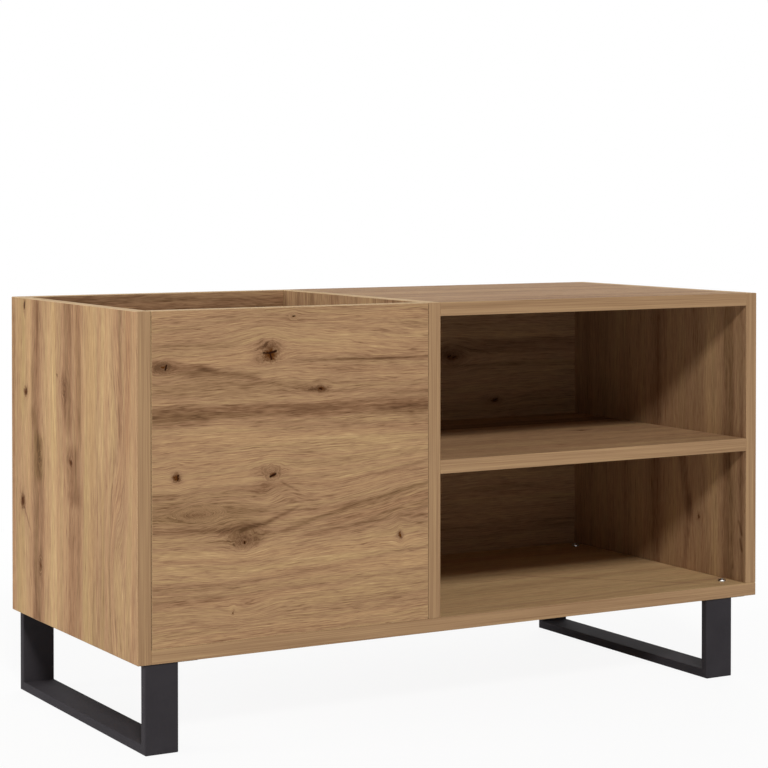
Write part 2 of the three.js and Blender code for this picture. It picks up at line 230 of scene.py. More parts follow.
class Tree:
    """The nodes of one material, made by short calls. Its surface is a Principled shader."""

    def __init__(self, name):
        self.material = bpy.data.materials.new(name)
        self.material.use_nodes = True
        self.nodes = self.material.node_tree.nodes
        self.links = self.material.node_tree.links
        self.nodes.clear()
        self.output = self.node("ShaderNodeOutputMaterial")
        self.surface = self.node("ShaderNodeBsdfPrincipled")
        self.links.new(self.surface.outputs[0], self.output.inputs[0])

    def node(self, kind, **settings):
        made = self.nodes.new(kind)
        for name, value in settings.items():
            setattr(made, name, value)
        return made

    def feed(self, socket, value):
        if isinstance(value, Num):
            self.links.new(value.socket, socket)
        elif isinstance(value, bpy.types.NodeSocket):
            self.links.new(value, socket)
        else:
            socket.default_value = value

    def set(self, name, value):
        self.feed(self.surface.inputs[name], value)

    def math(self, operation, *values):
        made = self.node("ShaderNodeMath", operation=operation)
        for socket, value in zip(made.inputs, values):
            self.feed(socket, value)
        return Num(self, made.outputs[0])

    def larger(self, one, other):
        return self.math("MAXIMUM", one, other)

    def blend(self, one, other, share):
        return one + (other - one) * share

    def place(self):
        """X, Y and Z in mm."""
        coordinates = self.node("ShaderNodeTexCoord")
        parts = self.node("ShaderNodeSeparateXYZ")
        self.links.new(coordinates.outputs["Object"], parts.inputs[0])
        return [Num(self, parts.outputs[i]) / MM for i in range(3)]

    def vector(self, x, y, z):
        made = self.node("ShaderNodeCombineXYZ")
        for socket, value in zip(made.inputs, (x, y, z)):
            self.feed(socket, value)
        return made.outputs[0]

    def noise(self, x, y, z=0.0, detail=2.0, roughness=0.5):
        """Clouds from 0 to 1, about one for each unit of x, y and z."""
        made = self.node("ShaderNodeTexNoise", noise_dimensions="3D")
        self.feed(made.inputs["Vector"], self.vector(x, y, z))
        self.feed(made.inputs["Scale"], 1.0)
        self.feed(made.inputs["Detail"], detail)
        self.feed(made.inputs["Roughness"], roughness)
        return Num(self, made.outputs[0])

    def cells(self, x, y, z=0.0):
        """A random number from 0 to 1 for each cell, about one cell for each unit."""
        made = self.node("ShaderNodeTexVoronoi", voronoi_dimensions="3D")
        self.feed(made.inputs["Vector"], self.vector(x, y, z))
        self.feed(made.inputs["Scale"], 1.0)
        parts = self.node("ShaderNodeSeparateXYZ")
        self.links.new(made.outputs["Color"], parts.inputs[0])
        return Num(self, parts.outputs[0])

    def ramp(self, value, *stops):
        """A colour for the value, from (value, colour) stops."""
        made = self.node("ShaderNodeValToRGB")
        points = made.color_ramp.elements
        while len(points) < len(stops):
            points.new(0.5)
        for point, (position, colour) in zip(points, stops):
            point.position = position
            point.color = colour
        self.feed(made.inputs[0], value)
        return made.outputs[0]

    def mix(self, share, one, other, blend="MIX"):
        made = self.node("ShaderNodeMix", data_type="RGBA", blend_type=blend)
        self.feed(made.inputs[0], share)
        self.feed(made.inputs[6], one)
        self.feed(made.inputs[7], other)
        return made.outputs[2]

    def bump(self, height, strength, distance_mm):
        made = self.node("ShaderNodeBump")
        self.feed(made.inputs["Strength"], strength)
        self.feed(made.inputs["Distance"], distance_mm * MM)
        self.feed(made.inputs["Height"], height)
        self.feed(self.surface.inputs["Normal"], made.outputs[0])


# Marks in the wood. Places and widths are in mm along and across the grain.
Knot = namedtuple("Knot", "along across reach core squeeze halo rings", defaults=(1,))
Crack = namedtuple("Crack", "start end width")
Streak = namedtuple("Streak", "start end width strength warm", defaults=(0,))
Swell = namedtuple("Swell", "along across length width rise")
Marks = namedtuple("Marks", "knots cracks streaks swells", defaults=((), (), (), ()))

# Wood of the faces and of the edge bands, and the tones at which each colour shows
WOOD_PALE = paint(203, 171, 126)
WOOD_LIGHT = paint(184, 150, 109)
WOOD_MIDDLE = paint(163, 128, 96)
WOOD_DARK = paint(129, 96, 69)
WOOD_DEEP = paint(92, 64, 42)
WOOD_KNOT = paint(84, 45, 10)
WOOD_CRACK = paint(36, 13, 1)
BAND_DARK = paint(131, 100, 71)
BAND_MIDDLE = paint(165, 132, 98)
BAND_LIGHT = paint(186, 154, 111)
# The palest band colour and the lift below paint light onto the top edge bands: they show paler, as if lit
# from above.
BAND_PALE = paint(212, 182, 144)
TOP_BAND_PAINTED_LIGHT = 0.42
BAND_STOPS = (0.1, BAND_DARK), (0.5, BAND_MIDDLE), (0.8, BAND_LIGHT), (1.0, BAND_PALE)
WOOD_STOPS = (0.0, WOOD_DEEP), (0.25, WOOD_DARK), (0.52, WOOD_MIDDLE), (0.78, WOOD_LIGHT), (1.0, WOOD_PALE)
CHIP_STOPS = (0.1, paint(120, 92, 62)), (0.5, paint(168, 136, 96)), (0.9, paint(205, 180, 138))
HARDBOARD_STOPS = (0.3, paint(112, 82, 56)), (0.5, paint(134, 100, 70)), (0.7, paint(152, 118, 84))
TINT_PINK = (1.0, 0.93, 0.88, 1)
TINT_OLIVE = (0.93, 1.0, 0.85, 1)


def knot_marks(tree, along, across, crumbs, knots):
    """Grain shift round the knots, distance field inside them, and the shares of knot, halo and core."""
    shift, radial, inside, halo, core = 0.0, 0.0, 0.0, 0.0, 0.0
    for knot in knots:
        da = (along - knot.along) / knot.squeeze
        db = across - knot.across
        square = da * da + db * db
        distance = tree.math("SQRT", square)
        shift = shift - db * (knot.reach ** 2) / (square + knot.reach ** 2)
        if knot.rings:
            ring = distance.step(knot.reach, knot.reach * 0.3)
            inside = tree.larger(ring, inside)
            radial = radial + distance * ring
        if knot.halo:
            stretched = tree.math("SQRT", da * da / 2.4 + db * db) + crumbs * knot.reach * 0.9
            halo = halo + stretched.positive().hill(knot.reach * 0.85) * knot.halo
        if knot.core:
            rough = distance + crumbs * knot.core * 1.6
            core = tree.larger(rough.step(knot.core * 1.5, knot.core * 0.3), core)
    return shift, radial, inside, halo, core


def crack_marks(tree, along, across, cracks):
    """Share of the cracks: short dark lines with ragged sides."""
    share = 0.0
    for crack in cracks:
        (a0, b0), (a1, b1) = crack.start, crack.end
        reach_a, reach_b = a1 - a0, b1 - b0
        square = reach_a ** 2 + reach_b ** 2
        run = (along - a0) * (reach_a / square) + (across - b0) * (reach_b / square)
        run = tree.math("MINIMUM", run.positive(), 1.0)
        da = along - (run * reach_a + a0)
        db = across - (run * reach_b + b0)
        distance = tree.math("SQRT", da * da + db * db)
        share = tree.larger(distance.step(crack.width, crack.width * 0.25), share)
    return share


def streak_marks(along, across, streaks):
    """Darkening, pink and olive by the streaks. A streak runs straight and fades out past its ends."""
    shade, pink, olive = 0.0, 0.0, 0.0
    for streak in streaks:
        (a0, b0), (a1, b1) = streak.start, streak.end
        run = (along - a0) / (a1 - a0)
        off = across - (run * (b1 - b0) + b0)
        profile = off.plateau(streak.width) if streak.width > 4 else off.hill(streak.width)
        share = profile * run.step(-0.12, 0.16) * run.step(1.12, 0.84)
        shade = shade + share * streak.strength if streak.strength else shade
        pink = pink + share * streak.warm if streak.warm > 0 else pink
        olive = olive + share * -streak.warm if streak.warm < 0 else olive
    return shade, pink, olive


def swell_shift(along, across, swells):
    """Grain pushed aside by smooth swells, which make closed ovals and arches."""
    shift = 0.0
    for swell in swells:
        away = (along - swell.along).hill(swell.length) * (across - swell.across).hill(swell.width)
        shift = shift + away * swell.rise
    return shift


# The grain's bent directions, its drift aside and its crumbs in mm, with the knots' halo and core
Grain = namedtuple("Grain", "run field drift crumbs halo core")


def bend_grain(tree, a, b, z, marks):
    """Bends the grain by waves, swells and knots. Inside a knot it runs round the knot."""
    wave = tree.noise(a / 190, b / 70, z, 2) - 0.5
    sway = tree.noise(a / 40, b / 14, z + 3, 3) - 0.5
    crumbs = tree.noise(a / 3.2, b / 2.4, z + 41, 3, 0.6) - 0.5
    ragged_a = a + (tree.noise(a / 9, b / 9, z + 5, 3) - 0.5) * 9
    ragged_b = b + (tree.noise(a / 9, b / 9, z + 8, 3) - 0.5) * 7
    shift, radial, inside, halo, core = knot_marks(tree, ragged_a, ragged_b, crumbs, marks.knots)
    straight = b + wave * 12 + sway * 3 + shift + swell_shift(a, b, marks.swells)
    wobble = tree.noise(a / 5, b / 4, z + 51, 2) - 0.5
    field = tree.blend(straight, radial * 0.8 + wobble * 5, inside)
    return Grain(a * (1.0 - inside), field, wave * 3 + sway * 3, crumbs, halo, core)


def grain_tone(tree, grain, z):
    """Tone of the grain round 0, its fine lines and its relief."""
    run, field = grain.run, grain.field
    broad = tree.noise(run / 380, field / 34, z + 11, 2) - 0.5
    bands = tree.noise(run / 200, field / 8, z + 13, 3, 0.6) - 0.5
    lines = tree.noise(run / 50, field / 1.6, z + 17, 4, 0.73) - 0.5
    fibre = tree.noise(run / 16, field / 0.85, z + 19, 2) - 0.5
    ridge = tree.math("ABSOLUTE", tree.noise(run / 110, field / 5.2, z + 23, 3) - 0.5)
    late = ridge.step(0.03, 0.0) * tree.noise(run / 45, field / 9, z + 29, 1).step(0.4, 0.62)
    dashes = tree.noise(run / 18, field / 1.1, z + 31, 2).step(0.56, 0.7)
    tone = broad * 0.6 + bands * 0.34 + lines * 1.1 + fibre * 0.7 - late * 0.19 - dashes * 0.1
    return tone, lines, lines * 0.8 + fibre - dashes * 0.5 - late * 0.5


def oak_face(name, along, across, seed, marks=Marks(), contrast=1.0, lift=0.0, hues=0.25):
    """Rustic oak decor of a board's face, with its grain along one axis and its marks in their places."""
    tree = Tree(name)
    place = tree.place()
    a, b = place[AXES.index(along)], place[AXES.index(across)]
    z = seed * 17.3
    grain = bend_grain(tree, a, b, z, marks)
    tone, lines, relief = grain_tone(tree, grain, z)
    streaked, pink, olive = streak_marks(a, b + grain.drift + lines * 2, marks.streaks)
    patches = tree.noise(a / 60, b / 4, z + 47, 2) * 1.1 + 0.45
    shade = (streaked * patches + grain.halo) * (lines * 2.4 + 1.0)
    tone = tone * contrast + 0.55 + lift - shade * 0.5
    colour = tree.ramp(tone, *WOOD_STOPS)
    tint = tree.noise(grain.run / 240, grain.field / 11, z + 37, 2)
    colour = tree.mix(tint.step(0.46, 0.62) * hues + pink, colour, TINT_PINK, "MULTIPLY")
    colour = tree.mix(tint.step(0.54, 0.38) * hues + olive, colour, TINT_OLIVE, "MULTIPLY")
    core = grain.core
    if marks.knots:
        colour = tree.mix(core, colour, WOOD_KNOT)
    if marks.cracks:
        open_crack = crack_marks(tree, a + grain.crumbs * 1.6, b + grain.crumbs * 1.2, marks.cracks)
        colour = tree.mix(open_crack, colour, WOOD_CRACK)
        core = core + open_crack
    tree.set("Base Color", colour)
    tree.set("Roughness", tone * -0.16 + 0.68)
    tree.set("Specular IOR Level", 0.06)
    tree.bump(relief - core * 1.5, 0.35, 0.12)
    return tree.material


def oak_band(name, along, across, seed, lift=0.0):
    """Edge band or arris: fine straight grain without knots. A lift above 0 is painted light: paler top bands
    and painted highlights on arrises.
    """
    tree = Tree(name)
    place = tree.place()
    a, b = place[AXES.index(along)], place[AXES.index(across)]
    third = place[3 - AXES.index(along) - AXES.index(across)]
    z = third / 3 + seed * 13.1
    sway = tree.noise(a / 90, b / 12, z, 1) - 0.5
    lines = tree.noise(a / 160, (b + sway * 3) / 1.1, z, 3, 0.6) - 0.5
    bands = tree.noise(a / 300, b / 4.5, z + 9, 2) - 0.5
    tone = lines * 0.9 + bands * 0.6 + 0.46 + lift
    tree.set("Base Color", tree.ramp(tone, *BAND_STOPS))
    tree.set("Roughness", lines * 0.2 + 0.6)
    tree.set("Specular IOR Level", 0.08)
    tree.bump(lines, 0.25, 0.08)
    return tree.material


def chipboard(name):
    """Raw particle board, where a bore or a hidden edge is cut."""
    tree = Tree(name)
    x, y, z = tree.place()
    chips = tree.cells(x / 1.6, y / 0.8, z / 1.1)
    crumbs = tree.noise(x / 0.5, y / 0.5, z / 0.5, 3)
    tree.set("Base Color", tree.ramp(chips * 0.7 + crumbs * 0.3, *CHIP_STOPS))
    tree.set("Roughness", 0.9)
    tree.bump(chips + crumbs, 0.6, 0.3)
    return tree.material


def hardboard(name):
    """Brown rear face of the thin back sheet."""
    tree = Tree(name)
    x, y, z = tree.place()
    clouds = tree.noise(x / 60, z / 60, y, 2)
    fibres = tree.noise(x / 2.2, z / 2.2, y, 4, 0.65)
    specks = tree.noise(x / 0.7, z / 0.7, 5.0, 1).step(0.66, 0.75)
    tone = clouds * 0.4 + fibres * 0.6
    colour = tree.ramp(tone, *HARDBOARD_STOPS)
    tree.set("Base Color", tree.mix(specks * 0.5, colour, paint(84, 60, 42)))
    tree.set("Roughness", fibres * 0.3 + 0.6)
    tree.bump(fibres, 0.3, 0.1)
    return tree.material


def anthracite(name):
    """Fine matt powder coat: orange peel, tiny specks and slightly lighter rubbed spots."""
    tree = Tree(name)
    x, y, z = tree.place()
    peel = tree.noise(x / 0.9, y / 0.9, z / 0.9, 2)
    clouds = tree.noise(x / 38, y / 38, z / 38, 3)
    specks = tree.noise(x / 0.35, y / 0.35, z / 0.35, 0).step(0.7, 0.78)
    colour = tree.ramp(clouds, (0.3, paint(48, 45, 48)), (0.7, paint(54, 51, 54)))
    colour = tree.mix(specks * 0.3, colour, paint(92, 88, 93))
    tree.set("Base Color", colour)
    tree.set("Roughness", clouds * 0.12 + peel * 0.1 + 0.6)
    tree.set("Specular IOR Level", 0.1)
    tree.bump(peel, 0.3, 0.06)
    return tree.material


def zinc_steel(name):
    """Bright zinc-plated steel with fine turning marks."""
    tree = Tree(name)
    x, y, z = tree.place()
    clouds = tree.noise(x / 3, y / 3, z / 3, 3)
    marks = tree.noise(x / 2.5, y / 2.5, z / 0.12, 2)
    tree.set("Metallic", 1.0)
    tree.set("Base Color", tree.ramp(clouds, (0.3, paint(196, 200, 204)), (0.7, paint(222, 222, 216))))
    tree.set("Roughness", clouds * 0.2 + marks * 0.12 + 0.14)
    tree.bump(marks, 0.2, 0.03)
    return tree.material


def zinc_cast(name):
    """Dull die-cast zinc with a sandy skin."""
    tree = Tree(name)
    x, y, z = tree.place()
    clouds = tree.noise(x / 4, y / 4, z / 4, 3)
    skin = tree.noise(x / 0.25, y / 0.25, z / 0.25, 2)
    tree.set("Metallic", 1.0)
    tree.set("Base Color", tree.ramp(clouds, (0.3, paint(150, 152, 156)), (0.7, paint(188, 189, 190))))
    tree.set("Roughness", clouds * 0.25 + skin * 0.15 + 0.28)
    tree.bump(skin, 0.35, 0.05)
    return tree.material


def clean_copy(node):
    """A CAD node's shape with doubled corners merged and flat faces joined."""
    bm = bmesh.new()
    bm.from_mesh(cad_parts[node].data)
    bmesh.ops.remove_doubles(bm, verts=bm.verts, dist=DOUBLED_CORNERS)
    bmesh.ops.dissolve_limit(bm, angle_limit=FLAT_TURN, verts=bm.verts, edges=bm.edges)
    return bm


def sides_near(point, lo, hi):
    """How many pairs of the box's sides the point lies near."""
    return sum(min(point[i] - lo[i], hi[i] - point[i]) < NEAR_ARRIS for i in range(3))


def round_arrises(bm, lo, hi):
    """The chamfers along the box's own arrises become small rounds."""
    arrises = [
        edge for edge in bm.edges
        if len(edge.link_faces) == 2
        and CHAMFER_TURN[0] < edge.calc_face_angle() < CHAMFER_TURN[1]
        and all(sides_near(vert.co, lo, hi) >= 2 for vert in edge.verts)
    ]
    bmesh.ops.bevel(bm, geom=arrises, offset=ARRIS_ROUND, segments=2, profile=0.5, affect="EDGES")


def cut_band(bm, lo, hi, side):
    """Cuts the edge band off that side, such as "-y", and returns it."""
    i = AXES.index(side[1])
    sign = 1 if side[0] == "+" else -1
    edge = hi[i] if sign > 0 else lo[i]
    normal = Vector((0, 0, 0))
    normal[i] = sign
    cut = Vector((0, 0, 0))
    cut[i] = edge - sign * BAND_THICK
    band = bm.copy()
    for part, outwards in ((bm, True), (band, False)):
        geom = part.verts[:] + part.edges[:] + part.faces[:]
        made = bmesh.ops.bisect_plane(part, geom=geom, plane_co=cut, plane_no=normal,
                                      clear_outer=outwards, clear_inner=not outwards)
        edges = [item for item in made["geom_cut"] if isinstance(item, bmesh.types.BMEdge)]
        bmesh.ops.holes_fill(part, edges=edges)
    return band


def assign_faces(bm, lo, hi, thick, low_index, high_index, edge_index, arris_index, raw_index):
    """Each face takes the material of its place: a broad face, an edge, an arris or a cut."""
    i = AXES.index(thick)
    for face in bm.faces:
        centre = face.calc_center_median()
        main = max(range(3), key=lambda k: abs(face.normal[k]))
        gap = min(centre[main] - lo[main], hi[main] - centre[main])
        if abs(face.normal[main]) < SQUARE_FACE:
            near = all(sides_near(vert.co, lo, hi) >= 2 for vert in face.verts)
            face.material_index = arris_index if near else raw_index
        elif gap > ON_SIDE:
            face.material_index = raw_index
        elif main == i:
            face.material_index = high_index if face.normal[i] > 0 else low_index
        else:
            face.material_index = edge_index


def add_piece(name, bm, materials, slot, *nodes):
    mesh = bpy.data.meshes.new(name)
    bm.to_mesh(mesh)
    bm.free()
    for material in materials:
        mesh.materials.append(material)
    made = bpy.data.objects.new(name, mesh)
    bpy.context.scene.collection.objects.link(made)
    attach(made, "root")
    if nodes:
        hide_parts(*nodes)


BAND_NAMES = {"-y": "front", "+y": "rear", "+z": "top", "-z": "bottom", "-x": "left", "+x": "right"}


def make_board(node, thick, grain, low_face, high_face, bands, raw):
    """A board with its two faces, its rounded arrises and its edge bands as strips of their own."""
    lo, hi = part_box(node)
    bm = clean_copy(node)
    round_arrises(bm, lo, hi)
    seed = sum(map(ord, node)) % 97
    for count, side in enumerate(bands):
        strip = cut_band(bm, lo, hi, side)
        run = "xyz".replace(thick, "").replace(side[1], "")
        # The top band's lift is painted light: the band shows paler, as if lit from above.
        lift = TOP_BAND_PAINTED_LIGHT if side == "+z" else 0.0
        flat = oak_band(f"{node}_{BAND_NAMES[side]}_band", run, thick, seed + count, lift)
        # The arris's extra lift of 0.08 is a painted highlight along the edge.
        arris = oak_band(f"{node}_{BAND_NAMES[side]}_arris", run, thick, seed + count, lift + 0.08)
        assign_faces(strip, lo, hi, thick, 1, 1, 0, 1, 0)
        add_piece(f"{node}_{BAND_NAMES[side]}_band", strip, [flat, arris], "oak_board", node)
    assign_faces(bm, lo, hi, thick, 0, 1, 2, 3, 2)
    # The face arrises' lift of 0.1 is a painted highlight along the edges.
    arris = oak_band(f"{node}_arris", grain, "xyz".replace(thick, "").replace(grain, ""), seed, 0.1)
    add_piece(f"{node}_board", bm, [low_face, high_face, raw, arris], "oak_board", node)


FRONT_MARKS = Marks(
    knots=[
        Knot(*on_front(270.5, 355), reach=11, core=7.5, squeeze=1.15, halo=0.5),
        Knot(*on_front(270, 345), reach=8, core=0, squeeze=1.6, halo=0.75, rings=0),
        Knot(*on_front(258, 361), reach=5, core=0, squeeze=1.2, halo=0.3, rings=0),
        Knot(*on_front(294, 316), reach=5, core=1.2, squeeze=1.4, halo=0.3),
        Knot(*on_front(163, 368), reach=8, core=1.8, squeeze=1.4, halo=0.55),
        Knot(*on_front(321, 389), reach=5, core=2.6, squeeze=1.6, halo=0.45),
        Knot(*on_front(316, 388), reach=3.5, core=0, squeeze=4.0, halo=0.35, rings=0),
        Knot(*on_front(176.5, 478), reach=7, core=5.0, squeeze=0.65, halo=0.75),
        Knot(*on_front(273, 475), reach=7, core=3.4, squeeze=1.5, halo=0.35),
        Knot(*on_front(271, 470), reach=7, core=0, squeeze=2.0, halo=0.45),
        Knot(*on_front(265, 487), reach=7, core=0, squeeze=1.2, halo=0.35, rings=0),
        Knot(*on_front(245, 542), reach=9, core=1.7, squeeze=1.3, halo=0.75),
        Knot(*on_front(240, 534), reach=12, core=0, squeeze=1.9, halo=0.45, rings=0),
        Knot(*on_front(200, 514), reach=9, core=0, squeeze=3.8, halo=0.15),
        Knot(*on_front(195, 515), reach=4, core=0, squeeze=3.0, halo=0.45, rings=0),
        Knot(*on_front(400, 535), reach=7, core=3.4, squeeze=0.45, halo=0.85),
        Knot(*on_front(233, 612), reach=4, core=1.6, squeeze=0.5, halo=0.2),
    ],
    cracks=[
        Crack(on_front(263, 353), on_front(269.5, 353), 1.2),
        Crack(on_front(269.5, 353), on_front(276, 351), 2.0),
        Crack(on_front(270, 353), on_front(271.5, 359), 1.7),
        Crack(on_front(166.5, 365.5), on_front(165.3, 370), 1.6),
        Crack(on_front(319.5, 388.5), on_front(322, 389), 1.1),
        Crack(on_front(178, 475.5), on_front(178, 480.5), 1.2),
        Crack(on_front(270.5, 476.5), on_front(275.5, 474), 1.9),
        Crack(on_front(244.5, 542), on_front(245, 543.5), 1.3),
        Crack(on_front(293, 316), on_front(295, 316), 1.1),
    ],
    streaks=[
        Streak(on_front(120, 416), on_front(460, 402.5), 8, 0.6, 0.15),
        Streak(on_front(270, 411), on_front(480, 408), 9, 0.2),
        Streak(on_front(100, 391), on_front(480, 388), 12, 0.37),
        Streak(on_front(100, 350), on_front(250, 350), 9, 0.15),
        Streak(on_front(130, 424), on_front(212, 421), 6, 0.25),
        Streak(on_front(100, 364), on_front(214, 373), 9, 0.42),
        Streak(on_front(200, 370), on_front(258, 378), 6, 0.24),
        Streak(on_front(130, 361), on_front(212, 372), 7, 0.18),
        Streak(on_front(196, 368), on_front(262, 379), 2.6, 0.3),
        Streak(on_front(292, 360), on_front(345, 359.5), 1.6, 0.35),
        Streak(on_front(340, 359.5), on_front(445, 355), 2.0, 0.6),
        Streak(on_front(270, 383), on_front(318, 391), 2.2, 0.3),
        Streak(on_front(325, 390.5), on_front(450, 391), 2.6, 0.25),
        Streak(on_front(140, 447), on_front(450, 441), 15, -0.16),
        Streak(on_front(240, 428), on_front(480, 424), 9, 0.2),
        Streak(on_front(146, 497), on_front(179, 495), 1.6, 0.5),
        Streak(on_front(146, 501), on_front(176, 499), 1.4, 0.4),
        Streak(on_front(130, 516), on_front(262, 519), 15, 0.25, -0.25),
        Streak(on_front(130, 533), on_front(226, 531), 3, 0.5),
        Streak(on_front(218, 532), on_front(266, 525), 3.5, 0.3),
        Streak(on_front(238, 532), on_front(276, 520), 2.4, 0.34),
        Streak(on_front(266, 523), on_front(301, 505), 2.2, 0.45),
        Streak(on_front(281, 482), on_front(300, 492), 1.5, 0.4),
        Streak(on_front(287, 529), on_front(358, 503), 3.0, 0.4, -0.2),
        Streak(on_front(350, 505.5), on_front(445, 477), 2.8, 0.5, -0.2),
        Streak(on_front(299, 537), on_front(384, 519), 2.6, 0.35),
        Streak(on_front(378, 521), on_front(445, 500), 2.2, 0.3),
        Streak(on_front(330, 519), on_front(450, 490), 11, 0.18, 0.2),
        Streak(on_front(110, 490), on_front(285, 489), 9, 0.12),
        Streak(on_front(285, 490), on_front(480, 482), 9, -0.1),
        Streak(on_front(372, 475), on_front(445, 454), 2.2, 0.3),
        Streak(on_front(130, 592), on_front(262, 580), 2.2, 0.3),
        Streak(on_front(255, 581), on_front(450, 541), 2.6, 0.35),
        Streak(on_front(130, 607), on_front(220, 597), 4, 0.35),
        Streak(on_front(210, 599), on_front(450, 565), 3.4, 0.3),
        Streak(on_front(130, 575), on_front(450, 540), 14, -0.15),
    ],
    swells=[
        Swell(*on_front(288, 491), length=24, width=14, rise=-8),
        Swell(*on_front(450, 482), length=120, width=42, rise=-26),
        Swell(*on_front(290, 335), length=120, width=30, rise=-8),
        Swell(*on_front(245, 612), length=40, width=12, rise=9),
        Swell(*on_front(275, 375), length=34, width=14, rise=-8),
    ],
)


def left_stripe(u, width, strength, warm=0.0, top=280, bottom=690, lean=0):
    """An upright stripe of the left side at that photo column, between two photo rows."""
    return Streak(on_left(u, top), on_left(u + lean, bottom), width, strength, warm)


LEFT_MARKS = Marks(
    knots=[
        Knot(*on_left(24.5, 305), reach=6, core=2.6, squeeze=2.0, halo=0.4),
        Knot(*on_left(26, 391.5), reach=8, core=6.0, squeeze=0.9, halo=0.5),
        Knot(*on_left(23, 500.5), reach=10, core=6.6, squeeze=1.1, halo=0.85),
        Knot(*on_left(71, 462.5), reach=6, core=4.8, squeeze=0.8, halo=0.1),
        Knot(*on_left(40.6, 565), reach=8, core=2.4, squeeze=1.6, halo=0.3),
        Knot(*on_left(57, 375), reach=3, core=1.6, squeeze=1.0, halo=0.2),
        Knot(*on_left(64, 390), reach=12, core=0, squeeze=1.2, halo=0.5, rings=0),
        Knot(*on_left(40, 455), reach=13, core=0, squeeze=1.7, halo=0.27, rings=0),
    ],
    cracks=[
        Crack(on_left(26, 389), on_left(26.2, 394), 1.3),
        Crack(on_left(22.6, 497), on_left(23.2, 503), 1.5),
        Crack(on_left(71, 461.5), on_left(71.3, 464), 1.1),
        Crack(on_left(24.5, 302), on_left(24.6, 308), 1.1),
    ],
    streaks=[
        Streak(on_left(23.5, 504), on_left(30.5, 530), 2.0, 0.5),
        left_stripe(13.5, 6, 0.25, 0.6),
        left_stripe(22, 17, 0.0, -0.5, bottom=420),
        left_stripe(29, 8, -0.2, 0.25, bottom=500),
        left_stripe(21, 10, 0.0, -0.5, top=500),
        left_stripe(35.8, 14, 0.46, 0.3, bottom=470),
        left_stripe(37.3, 5, 0.2, 0.1, bottom=430),
        left_stripe(38.5, 19, 0.66, 0.2, top=455),
        Streak(on_left(33.5, 408), on_left(38, 452), 8, 0.3, -0.3),
        Streak(on_left(38.5, 434), on_left(39, 480), 16, 0.18, -0.8),
        left_stripe(49, 22, -0.14, 0.0),
        left_stripe(54, 9, -0.05, -0.35, bottom=470),
        left_stripe(67.5, 15, 0.68, 0.25, bottom=443),
        left_stripe(60, 12, 0.1, 0.0, bottom=470),
        left_stripe(71, 22, 0.6, 0.3, top=446, bottom=506, lean=3),
        left_stripe(74.5, 21, 0.36, 0.3, top=505),
        left_stripe(83, 10, 0.12, 0.0, top=470),
        left_stripe(77.5, 10, 0.28, 0.6, bottom=450),
        left_stripe(90, 18, -0.14, -0.35),
        left_stripe(102.5, 5, 0.1, -0.5, top=470),
        left_stripe(123, 12, 0.12, 0.0, top=470),
        left_stripe(107, 20, -0.12, 0.0, bottom=470),
        left_stripe(120, 6, 0.35, 0.0, bottom=450),
        left_stripe(127.5, 9, 0.15, 0.5, bottom=460),
    ],
    swells=[
        Swell(*on_left(122, 450), length=120, width=24, rise=18),
        Swell(*on_left(116, 580), length=90, width=22, rise=-16),
        Swell(*on_left(73, 480), length=50, width=16, rise=10),
    ],
)
WALL_MARKS = Marks(
    knots=[Knot(*on_right_wall(699, 517), reach=6, core=2.0, squeeze=1.3, halo=0.4)],
    streaks=[
        Streak(on_right_wall(729, 280), on_right_wall(728, 640), 12, 0.55, -0.2),
        Streak(on_right_wall(727, 440), on_right_wall(727, 480), 8, 0.25),
        Streak(on_right_wall(741, 280), on_right_wall(742, 640), 4, 0.3),
        Streak(on_right_wall(738.5, 520), on_right_wall(742, 536), 2, 0.5),
        Streak(on_right_wall(740, 538), on_right_wall(742, 552), 2, 0.5),
        Streak(on_right_wall(680, 440), on_right_wall(690, 520), 9, 0.5),
        Streak(on_right_wall(690, 490), on_right_wall(682, 600), 6, 0.3),
        Streak(on_right_wall(712, 280), on_right_wall(712, 640), 13, -0.35),
        Streak(on_right_wall(655, 280), on_right_wall(657, 640), 12, 0.35),
    ],
)
FLOOR_MARKS = Marks(
    streaks=[
        Streak(on_floor(500, 575), on_floor(740, 585), 6, 0.3),
        Streak(on_floor(560, 600), on_floor(740, 575), 4, 0.3),
    ],
)


def scattered_marks(seed, along, across):
    """Marks strewn over a face, within those ranges in mm along and across the grain."""
    dice = random.Random(seed)
    knots, cracks = [], []
    for _ in range(STREWN_KNOTS):
        a, b = dice.uniform(*along), dice.uniform(*across)
        core = dice.uniform(1.8, 4.2)
        knots.append(Knot(a, b, dice.uniform(6, 11), core, dice.uniform(1.1, 1.8), dice.uniform(0.35, 0.6)))
        start, end = (a - core * 0.6, b - core * 0.2), (a + core * 0.6, b + core * 0.3)
        cracks.append(Crack(start, end, core * 0.4))
    streaks = []
    for _ in range(STREWN_STREAKS):
        b = dice.uniform(*across)
        start = along[0] - STREAK_OVERRUN, b
        end = along[1] + STREAK_OVERRUN, b + dice.uniform(-16, 16)
        width, strength, warm = dice.uniform(2, 13), dice.uniform(-0.25, 0.55), dice.uniform(-0.3, 0.3)
        streaks.append(Streak(start, end, width, strength, warm))
    a, b = dice.uniform(*along), dice.uniform(*across)
    length, width, rise = dice.uniform(60, 120), dice.uniform(16, 30), dice.uniform(-16, 16)
    return Marks(knots, cracks, streaks, [Swell(a, b, length, width, rise)])


def strewn_face(name, along, across, seed, ranges, contrast=1.0):
    """Oak face whose marks the photo doesn't show."""
    return oak_face(name, along, across, seed, scattered_marks(seed, *ranges), contrast)


